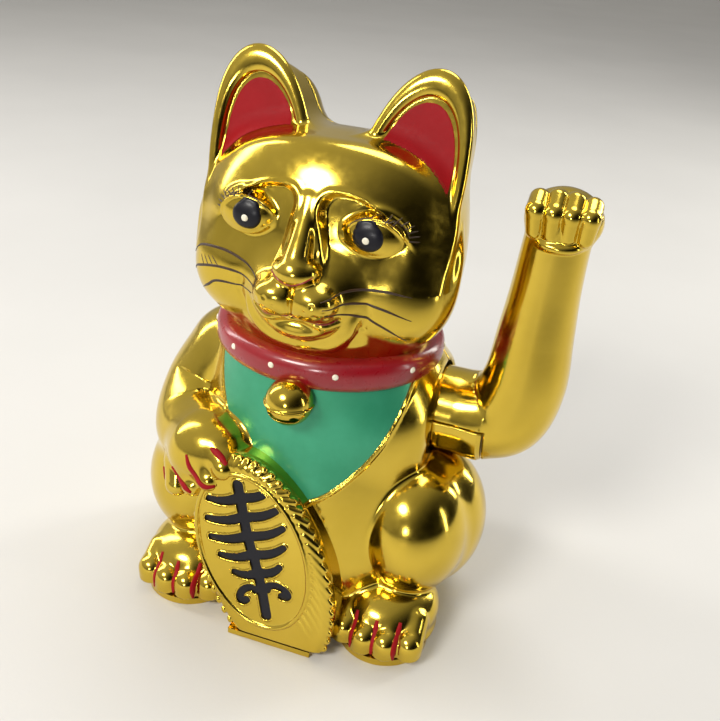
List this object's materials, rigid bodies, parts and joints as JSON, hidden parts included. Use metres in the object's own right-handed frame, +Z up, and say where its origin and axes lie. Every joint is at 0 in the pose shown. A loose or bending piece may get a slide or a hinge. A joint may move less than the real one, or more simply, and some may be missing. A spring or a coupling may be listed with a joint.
{
  "type": "beckoning cat figurine",
  "caption": "Seated gold cat figurine with one raised arm that swings on a pendulum movement, a collar with a bell, a bib and an oval coin held to its belly.",
  "frame": {"origin": "centre of the base plate's flat underside, under the middle of the seated body", "axes": "+Z up through the head; the cat faces -Y; +X is the cat's own left, the side of the waving arm, and the arm's pivot axis runs along X"},
  "size_m": [0.1328, 0.0956, 0.1715],
  "materials": {
    "gold_plating": "vacuum metallised mirror gold over moulded plastic",
    "red_lacquer": "brushed-on red gloss paint",
    "green_lacquer": "transparent green lacquer over the gold",
    "black_lacquer": "black gloss paint",
    "white_lacquer": "white gloss paint",
    "black_plastic": "moulded, fine texture",
    "white_plastic": "moulded, satin",
    "steel": "zinc plated",
    "magnet": "nickel plated",
    "bronze": "sintered, oiled",
    "copper_wire": "enamelled wire, close wound",
    "circuit_board": "solder mask over laminate",
    "component_body": "moulded component bodies",
    "battery_can": "plain printed sleeve over a can",
    "red_insulation": "soft insulated lead",
    "black_insulation": "soft insulated lead"
  },
  "bodies": {
    "figure": {"front_shell": "gold_plating", "rear_shell": "gold_plating", "bell": "gold_plating", "movement_frame": "black_plastic", "bearing_bushes": "bronze", "coil_bobbin": "white_plastic", "coil_winding": "copper_wire", "circuit_board": "circuit_board", "circuit_components": "component_body", "base_plate": "gold_plating", "base_screws": "steel", "frame_screws": "steel", "battery_cell": "battery_can", "battery_spring": "steel", "battery_contact": "steel", "switch_housing": "black_plastic", "battery_wire": "red_insulation", "switch_wire": "black_insulation", "board_wire": "black_insulation"},
    "waving_arm": {"arm_shell": "gold_plating", "arm_under_cover": "gold_plating", "arm_hub": "black_plastic", "pivot_shaft": "steel", "pendulum_lever": "black_plastic", "pendulum_weight": "steel", "pendulum_magnet": "magnet"},
    "battery_door": {"battery_door": "gold_plating"},
    "power_switch": {"switch_slider": "white_plastic"}
  },
  "joints": [
    {"name": "arm_swing", "type": "hinge", "parent": "figure", "child": "waving_arm", "pos_m": [0.0375, -0.002, 0.068], "axis": [1, 0, 0], "range_deg": [-18, 18]},
    {"name": "battery_door_slide", "type": "slide", "parent": "figure", "child": "battery_door", "axis": [0, 1, 0], "range_m": [0, 0.026]},
    {"name": "power_switch_slide", "type": "slide", "parent": "figure", "child": "power_switch", "axis": [1, 0, 0], "range_m": [0, 0.003]}
  ]
}
